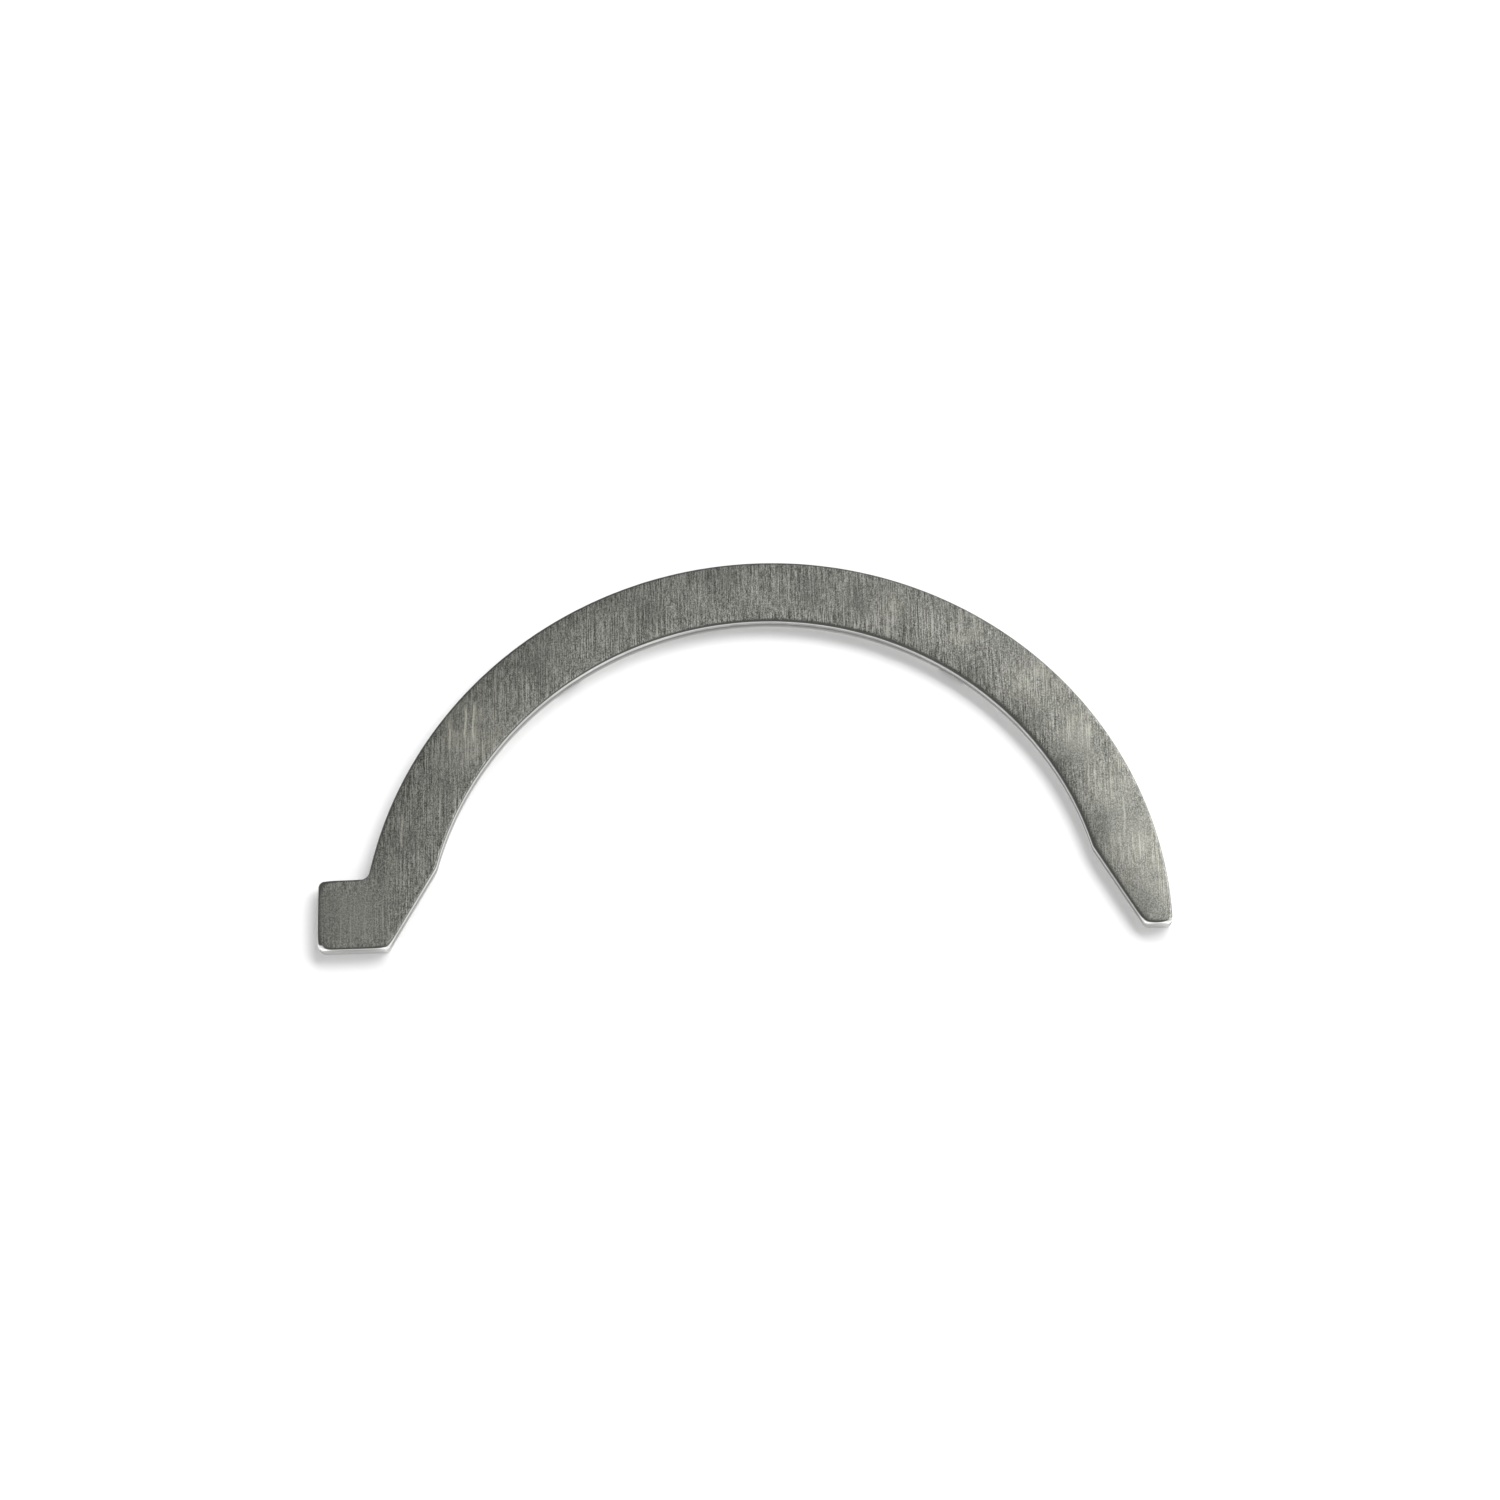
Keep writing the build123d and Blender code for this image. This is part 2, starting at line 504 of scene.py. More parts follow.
print("back sheet:", len(flat_points), "points,", len(flat_faces), "faces")

# %% [markdown]
# ## The section of the edge
#
# Cut across, the edge is the same everywhere apart from the size of its roll. From the running face up
# it has a small broken edge, a torn zone where the steel cracked, a bright zone where the punch
# burnished it, and the roll. The section is a chain of stations. Each says how far it lies in from the
# rim, as a fixed distance and as a share of the roll, and how high it stands, as shares of the broken
# edge, the wall and the roll. Each also says how much of it is torn, and how much is clear of the belt.

# %% Section stations
BROKEN_EDGE = 0.08
TORN_SHARE, TORN_STATIONS = 0.68, 9
BURNISHED_LEVELS = (TORN_SHARE + 0.03, TORN_SHARE + 0.09, 0.84, 0.92)
ROLL_STATIONS = 9

stations = [
    # in, roll in, border in, edge up, wall up, roll up, torn, off the belt
    (BROKEN_EDGE + BORDER, 0, 0, 0, 0, 0, 0, 1),
    (BROKEN_EDGE, 0, 0, 0, 0, 0, 0, 1),
    (BROKEN_EDGE / 2, 0, 0, 0.5, 0, 0, 0.5, 1),
]
for level_up in np.linspace(0, TORN_SHARE, TORN_STATIONS):
    stations.append((0, 0, 0, 1, level_up, 0, 1, 1))
for level_up in BURNISHED_LEVELS:
    stations.append((0, 0, 0, 1, level_up, 0, 0, 1))
for k in range(ROLL_STATIONS + 1):
    bend = math.pi / 2 * k / ROLL_STATIONS
    stations.append((0, 1 - math.cos(bend), 0, 1, 1, math.sin(bend), 0, 1 - k / ROLL_STATIONS))
stations.append((0, 1, 1, 1, 1, 1, 0, 0))
stations = np.array(stations, float)
print(len(stations), "stations on the section")

# %% Sheet, outline and section as meshes that carry their values
def chain(name, points, attributes, closed=False, faces=None):
    """A chain of edges, or a sheet of faces. Its points carry the named values that the tree reads."""
    mesh = bpy.data.meshes.new(name)
    count = len(points)
    edges = [(i, (i + 1) % count) for i in range(count if closed else count - 1)]
    mesh.from_pydata([tuple(p) for p in points], [] if faces else edges, faces or [])
    for label, values in attributes.items():
        kind, field = ("FLOAT_VECTOR", "vector") if np.ndim(values) == 2 else ("FLOAT", "value")
        stored_values = mesh.attributes.new(label, kind, "POINT").data
        stored_values.foreach_set(field, np.ravel(values).astype(np.float32))
    made = bpy.data.objects.new(name, mesh)
    bpy.context.scene.collection.objects.link(made)
    print(name, "has", count, "points with", ", ".join(attributes))
    return made


def flat_vectors(pairs):
    """Pairs in millimetres as vectors in metres, lying flat."""
    return np.column_stack([pairs, np.zeros(len(pairs))]) * MM


sheet = chain("back_sheet", flat_vectors(flat_points), {
    "from_rim": from_rim * MM,
    "draw_share": draw_share[nearest],
}, faces=flat_faces)

outline = chain("thrust_washer_linished", flat_vectors(rim), {
    "rim": flat_vectors(rim),
    "outward": flat_vectors(outward) / MM,
    "lean": flat_vectors(lean) / MM,
    "roll_width": roll_width * MM,
    "roll_drop": roll_drop * MM,
    "draw_share": draw_share,
    "corner": painted_corner_highlight,
    "trimmed": end_face,
}, closed=True)

# The section's own places don't matter, because the tree puts every point in its place.
section = chain("edge_section", [(MM * k, 0, 0) for k in range(len(stations))], {
    "step_in": stations[:, 0:3] * (MM, 1, 1),
    "step_up": stations[:, 3:6],
    "torn": stations[:, 6],
    "off_belt": stations[:, 7],
})

# %% [markdown]
# ## Linished steel, as shader groups
#
# A picture of brushed metal would repeat, and would have no real size. So the finish is built from
# noise, as three groups with named inputs: the belt's grain, the slow clouding of a handled surface,
# and one long scratch. They read Object coordinates in millimetres, so that a pattern stays put on the
# metal and has a size that can be measured.
#
# A belt leaves three things at once. Each grit that lasts draws a long straight line. Most grits break
# out and leave a short stroke. Between them the old surface shows as specks. So the grain is the
# weighted sum of three noises, two of them drawn out by different lengths along the belt's travel. The
# specks are also put out alone, for where the belt hardly cut, and so are the deepest lines.

# %% Helpers for groups and noise
def new_group(kind, name, inputs, outputs):
    """An empty node group with named sockets. Each input gives its socket type and its value."""
    group = bpy.data.node_groups.new(name, kind)
    for label, (socket_type, value) in inputs.items():
        socket = group.interface.new_socket(label, in_out="INPUT", socket_type=socket_type)
        if value is not None:
            socket.default_value = value
    for label, socket_type in outputs.items():
        group.interface.new_socket(label, in_out="OUTPUT", socket_type=socket_type)
    return group, put(group, "NodeGroupInput").outputs, put(group, "NodeGroupOutput").inputs


def object_mm(tree):
    """The place on the object, in millimetres."""
    return scaled(tree, put(tree, "ShaderNodeTexCoord").outputs["Object"], 1 / MM)


def noise(tree, vector, scale, detail=2.0, roughness=0.5, distortion=0.0):
    """Noise from about 0 to 1. Its scale says how many marks there are to a millimetre."""
    inputs = {"Vector": vector, "Scale": scale, "Detail": detail, "Roughness": roughness,
              "Distortion": distortion}
    return put(tree, "ShaderNodeTexNoise", inputs).outputs["Fac"]


def drawn_out(tree, place, width, length, offset, detail, roughness):
    """Noise whose marks have a width across the belt's travel and a length along it."""
    across, along = math_of(tree, "DIVIDE", 1.0, width), math_of(tree, "DIVIDE", 1.0, length)
    stretched = vector_of(tree, "MULTIPLY", place, vector_from(tree, across, along, across))
    return noise(tree, vector_of(tree, "ADD", stretched, (offset, offset, 0.0)), 1.0, detail, roughness)

# %% Grain group
FLOAT = "NodeSocketFloat"
LINES = {"offset": 0.0, "detail": 1.0, "roughness": 0.5}
STROKES = {"offset": 17.0, "detail": 3.0, "roughness": 0.6}
SPECKS, SPECK_SHAPE = {"scale": 6.0, "detail": 3.0, "roughness": 0.7}, (1.0, 0.75, 1.0)
DEEP_LINES = {"offset": 41.0, "detail": 0.0, "roughness": 0.5}
LINES_PART, STROKES_PART, SPECKS_PART, MIDDLE = 0.27, 0.30, 0.43, 0.5
DEEP_LINE_WIDTH, DEEPEST_LINES = 1.2, (0.66, 0.74)

grain_group, given, out = new_group("ShaderNodeTree", "belt grain", {
    "Mark Width": (FLOAT, 0.12),
    "Line Length": (FLOAT, 8.0),
    "Stroke Length": (FLOAT, 1.1),
    "Contrast": (FLOAT, 1.0),
}, {"Grain": FLOAT, "Specks": FLOAT, "Scratches": FLOAT})
tree = grain_group
place = object_mm(tree)
lines = drawn_out(tree, place, given["Mark Width"], given["Line Length"], **LINES)
strokes = drawn_out(tree, place, given["Mark Width"], given["Stroke Length"], **STROKES)
specks = noise(tree, vector_of(tree, "MULTIPLY", place, SPECK_SHAPE), **SPECKS)
weighted = plus(tree, times(tree, lines, LINES_PART), times(tree, strokes, STROKES_PART),
                times(tree, specks, SPECKS_PART))
contrasted = plus(tree, times(tree, minus(tree, weighted, MIDDLE), given["Contrast"]), MIDDLE)
deep_width = times(tree, given["Mark Width"], DEEP_LINE_WIDTH)
deep_lines = drawn_out(tree, place, deep_width, given["Line Length"], **DEEP_LINES)
tree.links.new(contrasted, out["Grain"])
tree.links.new(specks, out["Specks"])
tree.links.new(ramp_of(tree, deep_lines, *DEEPEST_LINES), out["Scratches"])
print("belt grain:", len(tree.nodes), "nodes")

# %% Clouding group
CLOUDS, MOTTLES = {"detail": 4.0, "roughness": 0.55, "distortion": 0.4}, {"detail": 4.0, "roughness": 0.65}
CLOUD_SHAPE, CLOUD_RANGE = (1.0, 0.7, 1.0), (0.3, 0.7)
MOTTLE_OFFSET, MOTTLES_TO_A_CLOUD, MOTTLE_RANGE = (31.0, 7.0, 0.0), 5.0, (0.36, 0.64)

cloud_group, given, out = new_group("ShaderNodeTree", "clouding", {
    "Cloud Size": (FLOAT, 10.0),
}, {"Clouds": FLOAT, "Mottle": FLOAT})
tree = cloud_group
place = object_mm(tree)
to_a_mm = math_of(tree, "DIVIDE", 1.0, given["Cloud Size"])
clouds = noise(tree, vector_of(tree, "MULTIPLY", place, CLOUD_SHAPE), to_a_mm, **CLOUDS)
finer = times(tree, to_a_mm, MOTTLES_TO_A_CLOUD)
mottle = noise(tree, vector_of(tree, "ADD", place, MOTTLE_OFFSET), finer, **MOTTLES)
tree.links.new(ramp_of(tree, clouds, *CLOUD_RANGE), out["Clouds"])
tree.links.new(ramp_of(tree, mottle, *MOTTLE_RANGE), out["Mottle"])
print("clouding:", len(tree.nodes), "nodes")

# %% Single scratch group
SWAYS, SWAY = {"scale": 0.35, "detail": 0.0}, 0.5
BREAKS, BREAK_RANGE, FAINTEST = {"scale": 2.2, "detail": 3.0, "roughness": 0.7}, (0.35, 0.55), 0.5
SOFT_SIDE, FADING_END = (0.25, 0.75), 1.2

scratch_group, given, out = new_group("ShaderNodeTree", "single scratch", {
    "Across": (FLOAT, 0.0),
    "Near End": (FLOAT, 0.0),
    "Far End": (FLOAT, 5.0),
    "Width": (FLOAT, 0.25),
    "Brightness": (FLOAT, 0.85),
}, {"Mask": FLOAT})
tree = scratch_group
place = object_mm(tree)
at = axes_of(tree, place)
sway = times(tree, minus(tree, noise(tree, place, **SWAYS), MIDDLE), SWAY)
off_line = math_of(tree, "ABSOLUTE", minus(tree, plus(tree, at["X"], sway), given["Across"]))
off_width = math_of(tree, "DIVIDE", off_line, given["Width"])
beyond = math_of(tree, "MAXIMUM", minus(tree, given["Near End"], at["Y"]),
                 minus(tree, at["Y"], given["Far End"]))
broken = ramp_of(tree, noise(tree, place, **BREAKS), *BREAK_RANGE, FAINTEST, 1.0)
line = times(tree, ramp_of(tree, off_width, *SOFT_SIDE, 1.0, 0.0),
             ramp_of(tree, beyond, -FADING_END, 0.0, 1.0, 0.0))
tree.links.new(times(tree, line, broken, given["Brightness"]), out["Mask"])
print("single scratch:", len(tree.nodes), "nodes")

# %% [markdown]
# ## Where the finish changes
#
# The belt is pressed on by hand, so the grain isn't even along the band. There are paler patches where
# it bit, which toward the outer rim on the right are also painted sheen, quiet ones where it hardly
# cut, and darker ones from handling. A second material for each would leave borders. Instead each
# patch is a spot with a soft reach, and one mask holds all the spots of a kind.

# %% Spots and scratches
SPOT_CORE = 0.2

# Each spot has its angle round the band, its radius and its reach.
# The pale spots are partly where the belt bit and partly painted sheen, toward the outer rim on the right.
PRESSED_AND_SHEEN = [(141, 50.8, 8.5), (69, 50.5, 3.0), (57, 51.5, 3.5), (43, 51.2, 5.5), (34, 51.6, 5.5),
           (24, 51.8, 6.0), (11, 51.5, 7.0)]
LIGHTLY_CUT = [(175, 56.0, 8.0), (4, 51.0, 8.0), (17, 50.5, 7.5), (31, 49.5, 4.0)]
SMUDGED = [(163, 50.2, 3.2), (152, 48.2, 1.4), (127, 50.0, 3.5), (108, 49.4, 3.0), (96, 52.0, 3.0),
           (82, 49.3, 3.2), (74, 49.6, 3.4), (52, 47.2, 3.6), (40, 46.8, 4.0), (29, 46.8, 4.0),
           (18, 46.9, 3.5)]

# These are patches of painted reflection on the wall of the bore.
REFLECTION_PATCHES_PAINTED = [(36, 45.3, 7.0), (46, 45.3, 8.0), (58, 45.3, 8.0), (108, 45.3, 6.0), (120, 45.3, 8.0)]

# The longest scratches: how far across they lie, where they start and end, and how bright they are.
LONG_SCRATCHES = [(-42.0, 27.8, 32.3, 0.8), (-39.9, 29.3, 34.6, 0.9), (-38.8, 28.8, 35.2, 0.9),
                  (-48.5, 13.5, 19.0, 0.6), (44.2, 24.5, 29.3, 0.45), (48.3, 11.8, 18.5, 0.4)]


def near(tree, place, spots):
    """One at the named spots, and zero beyond their reach."""
    most = 0.0
    for angle, radius, reach in spots:
        away = vector_of(tree, "DISTANCE", place, (*(unit(angle) * radius), THICKNESS))
        most = math_of(tree, "MAXIMUM", most, ramp_of(tree, away, SPOT_CORE * reach, reach, 1.0, 0.0))
    return most


print("spots:", len(PRESSED_AND_SHEEN + LIGHTLY_CUT + SMUDGED + REFLECTION_PATCHES_PAINTED), "; long scratches:", len(LONG_SCRATCHES))

# %% [markdown]
# ## The finish of the back, the roll and the wall
#
# One material covers everything that the press and the belt made, since on the real part it is one
# skin of steel. The belt reached only the flat, so the grain fades out over the roll, which keeps the
# darker, smoother skin of the strip; that darkness is partly painted shade. The wall is bright where
# it was burnished and dull where it tore. The flat also carries some painted sheen and shade, and the
# edge painted highlights. It is built in that order: the colour of the flat, the colour of the edge,
# and then how rough each is.

# %% Colour of the flat
GRAIN_DARK, GRAIN_PALE = (0.038, 0.040, 0.034, 1), (0.57, 0.57, 0.522, 1)
PRESSED_AND_SHEEN_PALE, DEEP_LINE_PALE = (0.52, 0.51, 0.43, 1), (0.62, 0.61, 0.55, 1)
SMUDGE_AND_SHADE_DARK, CLOUD_GREY = (0.09, 0.092, 0.085, 1), (0.17, 0.174, 0.158, 1)
SCRATCH_PALE = (0.64, 0.62, 0.53, 1)
BELT_CONTRAST, GRAIN_RANGE, GRAIN_CURVE = 4.1, (0.10, 0.90), 1.5
SPECK_RANGE, SPECK_SHADES, LIGHTLY_CUT_PART = (0.30, 0.70), (0.10, 0.74), 0.9
PRESSED_AND_SHEEN_PART, SMUDGED_PART, CLOUDED_PART = 0.38, 0.55, 0.22
BITE_RANGE, BITE_PARTS = (0.3, 1.2), (0.1, 0.8)


def attribute(tree, name):
    """A value that the mesh carries."""
    return put(tree, "ShaderNodeAttribute", attribute_name=name).outputs["Fac"]


def blend(tree, amount, first, second):
    """A colour between two colours."""
    return put(tree, "ShaderNodeMix", {0: amount, 6: first, 7: second}, data_type="RGBA").outputs[2]


steel, tree = new_material("belt_linished_steel")
place = object_mm(tree)
grain = put(tree, "ShaderNodeGroup", {"Contrast": BELT_CONTRAST}, node_tree=grain_group).outputs
cloud = put(tree, "ShaderNodeGroup", node_tree=cloud_group).outputs

marks = math_of(tree, "POWER", ramp_of(tree, grain["Grain"], *GRAIN_RANGE), GRAIN_CURVE)
uncut = ramp_of(tree, grain["Specks"], *SPECK_RANGE, *SPECK_SHADES)
marks = between(tree, times(tree, near(tree, place, LIGHTLY_CUT), LIGHTLY_CUT_PART), marks, uncut)
belt_colour = blend(tree, marks, GRAIN_DARK, GRAIN_PALE)
# Paler patches: partly where the belt bit, partly painted sheen.
pressed = times(tree, near(tree, place, PRESSED_AND_SHEEN), cloud["Mottle"])
belt_colour = blend(tree, times(tree, pressed, PRESSED_AND_SHEEN_PART), belt_colour, PRESSED_AND_SHEEN_PALE)
bite = times(tree, grain["Scratches"],
             ramp_of(tree, plus(tree, pressed, cloud["Clouds"]), *BITE_RANGE, *BITE_PARTS))
belt_colour = blend(tree, bite, belt_colour, DEEP_LINE_PALE)
smudged = times(tree, near(tree, place, SMUDGED), cloud["Mottle"])
belt_colour = blend(tree, times(tree, smudged, SMUDGED_PART), belt_colour, SMUDGE_AND_SHADE_DARK)
belt_colour = blend(tree, times(tree, cloud["Clouds"], CLOUDED_PART), belt_colour, CLOUD_GREY)

# %% The painted shade in a strip beside the outer rim, and the long scratches
STRIP_FROM, RIM_SHADE_PART = 49.5, 0.26
STRIP_CLEAR_OF_TAB, STRIP_CLEAR_OF_END, LEFT_AT_END = (-46.0, -36.0), (12.0, 32.0), 0.1

at = axes_of(tree, place)
from_axis = vector_of(tree, "LENGTH", vector_of(tree, "MULTIPLY", place, (1.0, 1.0, 0.0)))
between_ends = times(tree, ramp_of(tree, at["X"], *STRIP_CLEAR_OF_TAB),
                     ramp_of(tree, at["Y"], *STRIP_CLEAR_OF_END, LEFT_AT_END, 1.0))
# Painted shade: the flat is darkened in a strip beside the outer rim, clear of the tab and faint near the
# ends.
rim_shade_painted = times(tree, ramp_of(tree, from_axis, STRIP_FROM, OUTER_RADIUS), between_ends)
belt_colour = blend(tree, times(tree, rim_shade_painted, RIM_SHADE_PART), belt_colour, SMUDGE_AND_SHADE_DARK)

scratched = 0.0
for across, near_end, far_end, brightness in LONG_SCRATCHES:
    one = put(tree, "ShaderNodeGroup", {"Across": across, "Near End": near_end, "Far End": far_end,
                                        "Brightness": brightness}, node_tree=scratch_group)
    scratched = math_of(tree, "MAXIMUM", scratched, one.outputs["Mask"])
belt_colour = blend(tree, scratched, belt_colour, SCRATCH_PALE)
print("colour of the flat:", len(tree.nodes), "nodes")

# %% Colour of the edge
SKIN_AND_SHADE_DARK, BURNISHED_GREY = (0.10, 0.102, 0.095, 1), (0.57, 0.57, 0.555, 1)
HIGHLIGHT_PAINTED, CORNER_HIGHLIGHT_PAINTED = (0.80, 0.80, 0.785, 1), (0.97, 0.97, 0.95, 1)
TORN_GREY, FOOT_PALE, FOOT_HEIGHT = (0.36, 0.36, 0.348, 1), (0.72, 0.72, 0.705, 1), (0.1, 0.9)
BELT_REACHES, LIP, WALL_STARTS = (0.10, 0.40), (0.90, 1.0), (0.68, 0.84)
CORNER_CURVE, CORNER_HIGHLIGHT_REACH = 2.0, 0.62

off_belt, at_corner = attribute(tree, "off_belt"), attribute(tree, "corner")
torn, trimmed = attribute(tree, "torn"), attribute(tree, "trimmed")
# The lip, where the roll meets the wall, is painted pale: a painted highlight for the bright line it mirrors.
# The burnished colour below also carries the painted highlights of the bore patches and corners.
lip = ramp_of(tree, off_belt, *LIP, 1.0, 0.0)
burnished = blend(tree, lip, BURNISHED_GREY, HIGHLIGHT_PAINTED)
# Painted reflection: patches of the bore wall turn pale.
burnished = blend(tree, near(tree, place, REFLECTION_PATCHES_PAINTED), burnished, HIGHLIGHT_PAINTED)
# Painted highlight: the near-side convex corners turn near white.
burnished = blend(tree, at_corner, burnished, CORNER_HIGHLIGHT_PAINTED)
# The torn zone is painted paler toward its foot: painted light that offsets the dark contact shadow it
# mirrors. The trimmed end faces take that pale colour all the way down, partly for their finish and partly as
# the same painted light.
torn_colour = blend(tree, ramp_of(tree, at["Z"], *FOOT_HEIGHT), FOOT_PALE, TORN_GREY)
foot_colour = blend(tree, trimmed, torn_colour, FOOT_PALE)
wall_colour = blend(tree, torn, burnished, foot_colour)
# The painted corner highlight also reaches up over the roll.
corner_highlight_reach = times(tree, math_of(tree, "POWER", at_corner, CORNER_CURVE), CORNER_HIGHLIGHT_REACH)
on_wall = ramp_of(tree, plus(tree, off_belt, corner_highlight_reach), *WALL_STARTS)
# The roll's skin colour is partly painted shade: its darkness also stands in for the dim room it mirrors.
edge_colour = blend(tree, on_wall, SKIN_AND_SHADE_DARK, wall_colour)
on_edge = ramp_of(tree, off_belt, *BELT_REACHES)
colour = blend(tree, on_edge, belt_colour, edge_colour)

# %% Roughness, bump and shader
ROUGH_IN_DARK, ROUGH_IN_PALE = 0.50, 0.36
ROUGH_SKIN, ROUGH_BURNISHED, ROUGH_TORN = 0.48, 0.28, 0.85
FINE_CRAGS, CRAG_SHAPE = {"scale": 9.0, "detail": 4.0, "roughness": 0.6}, (1, 1, 0.4)
STEEL_BUMP, STEEL_BUMP_HEIGHT = 0.5, 0.00001


def bare_metal(tree, colour, roughness, surface, strength, height):
    """The shader of bare metal, with its marks raised by a height."""
    bump = put(tree, "ShaderNodeBump", {"Strength": strength, "Distance": height, "Height": surface})
    shader = put(tree, "ShaderNodeBsdfPrincipled", {
        "Base Color": colour, "Metallic": 1.0, "Roughness": roughness, "Normal": bump.outputs[0]})
    put(tree, "ShaderNodeOutputMaterial", {"Surface": shader.outputs[0]})
    print("a bare metal of", len(tree.nodes), "nodes")


still_torn = times(tree, torn, minus(tree, 1.0, trimmed))
belt_roughness = between(tree, marks, ROUGH_IN_DARK, ROUGH_IN_PALE)
wall_roughness = between(tree, still_torn, ROUGH_BURNISHED, ROUGH_TORN)
edge_roughness = between(tree, on_wall, ROUGH_SKIN, wall_roughness)
roughness = between(tree, on_edge, belt_roughness, edge_roughness)

flat_height = times(tree, grain["Grain"], minus(tree, 1.0, on_edge))
torn_grain = noise(tree, vector_of(tree, "MULTIPLY", place, CRAG_SHAPE), **FINE_CRAGS)
surface = plus(tree, flat_height, times(tree, torn_grain, torn))
bare_metal(tree, colour, roughness, surface, STEEL_BUMP, STEEL_BUMP_HEIGHT)

# %% [markdown]
# ## The finish of the running face
#
# The face that runs against the shaft's collar is ground, so its marks are finer and fainter, and it is
# paler and smoother. The same two groups serve it with other values, which is what groups are for.

# %% Running face
GROUND_MARK, GROUND_CONTRAST, GROUND_RANGE, GROUND_CLOUD = 0.09, 1.6, (0.2, 0.8), 14.0
GROUND_DARK, GROUND_PALE = (0.40, 0.40, 0.385, 1), (0.60, 0.60, 0.58, 1)
STAIN, STAIN_PART = (0.40, 0.395, 0.37, 1), 0.3
GROUND_ROUGHNESS, GROUND_BUMP, GROUND_BUMP_HEIGHT = 0.34, 0.4, 0.000005

running, tree = new_material("running_face")
grain = put(tree, "ShaderNodeGroup", {"Mark Width": GROUND_MARK, "Contrast": GROUND_CONTRAST},
            node_tree=grain_group).outputs
cloud = put(tree, "ShaderNodeGroup", {"Cloud Size": GROUND_CLOUD}, node_tree=cloud_group).outputs
ground = blend(tree, ramp_of(tree, grain["Grain"], *GROUND_RANGE), GROUND_DARK, GROUND_PALE)
ground = blend(tree, times(tree, cloud["Clouds"], STAIN_PART), ground, STAIN)
bare_metal(tree, ground, GROUND_ROUGHNESS, grain["Grain"], GROUND_BUMP, GROUND_BUMP_HEIGHT)

# %% [markdown]
# ## The tree that blanks the plate
#
# The whole part follows one rule: a section carried along an outline, closed by two flats, with two
# grooves cut across the running face. Solidify and Bevel would be quicker, but they know nothing of a
# torn zone or of a roll that changes. Geometry Nodes state the rule once. Curve to Mesh lays out the
# grid of points, and each point is then put in its place from the values of its outline point and its
# station. The two flats are made from the same values, so that their borders meet exactly and Merge by
# Distance can weld them.

# %% Geometry Nodes: the inputs
GROOVE_ANGLE, GROOVE_WIDTH, GROOVE_DEPTH = 35.0, 4.0, 0.6
DRAW_DOWN, DRAW_REACH = 0.10, 3.6
TORN_RECESS, TORN_ROUGHNESS, TEAR_LINE_WANDER = 0.04, 0.03, 0.16
groove_bar = (GROOVE_WIDTH**2 / 4 + GROOVE_DEPTH**2) / (2 * GROOVE_DEPTH)

plate, given, out = new_group("GeometryNodeTree", "blanked plate", {
    "Outline": ("NodeSocketGeometry", None),
    "Section": ("NodeSocketObject", None),
    "Back Sheet": ("NodeSocketObject", None),
    "Draw Down": (FLOAT, DRAW_DOWN * MM),
    "Draw Reach": (FLOAT, DRAW_REACH * MM),
    "Thickness": (FLOAT, THICKNESS * MM),
    "Broken Edge": (FLOAT, BROKEN_EDGE * MM),
    "Border": (FLOAT, BORDER * MM),
    "Torn Share": (FLOAT, TORN_SHARE),
    "Torn Recess": (FLOAT, TORN_RECESS * MM),
    "Torn Roughness": (FLOAT, TORN_ROUGHNESS * MM),
    "Tear Line Wander": (FLOAT, TEAR_LINE_WANDER * MM),
    "Groove Angle": (FLOAT, math.radians(GROOVE_ANGLE)),
    "Groove Depth": (FLOAT, GROOVE_DEPTH * MM),
    "Groove Bar Radius": (FLOAT, groove_bar * MM),
    "Band Middle": (FLOAT, (OUTER_RADIUS + INNER_RADIUS) / 2 * MM),
    "Bar Length": (FLOAT, 2 * BAND_WIDTH * MM),
    "Steel": ("NodeSocketMaterial", None),
    "Running Face": ("NodeSocketMaterial", None),
}, {"Washer": "NodeSocketGeometry"})
tree = plate
print("the bar that cuts a groove has a radius of", round(groove_bar, 3), "mm")

# %% Geometry Nodes: the section carried along the outline
def stored(name, kind="FLOAT"):
    """A value that the outline, the section or the sheet carries."""
    node = put(tree, "GeometryNodeInputNamedAttribute", {"Name": name}, data_type=kind)
    return node.outputs["Attribute"]


def geometry(kind, inputs, **settings):
    """What one step makes of the geometry."""
    return put(tree, "GeometryNode" + kind, inputs, **settings).outputs[0]


def object_mesh(item):
    """The mesh of an object that the tree is given."""
    return put(tree, "GeometryNodeObjectInfo", {"Object": item}).outputs["Geometry"]


rim_place, outwards, leaning, step_in, step_up = (
    stored(name, "FLOAT_VECTOR") for name in ("rim", "outward", "lean", "step_in", "step_up"))
width, drop = stored("roll_width"), stored("roll_drop")

outline_curve = geometry("MeshToCurve", {"Mesh": given["Outline"]})
section_curve = geometry("MeshToCurve", {"Mesh": object_mesh(given["Section"])})
swept = geometry("CurveToMesh", {"Curve": outline_curve, "Profile Curve": section_curve})
print("the swept grid has", len(rim), "by", len(stations), "points")

# %% Geometry Nodes: how far in from the rim, and how high, each point stands
def drawn_down(from_rim):
    """How far blanking has drawn the back down at a distance from the rim."""
    near_rim = ramp_of(tree, math_of(tree, "DIVIDE", from_rim, given["Draw Reach"]), 0.0, 1.0, 1.0, 0.0)
    return times(tree, times(tree, near_rim, near_rim), times(tree, given["Draw Down"], stored("draw_share")))


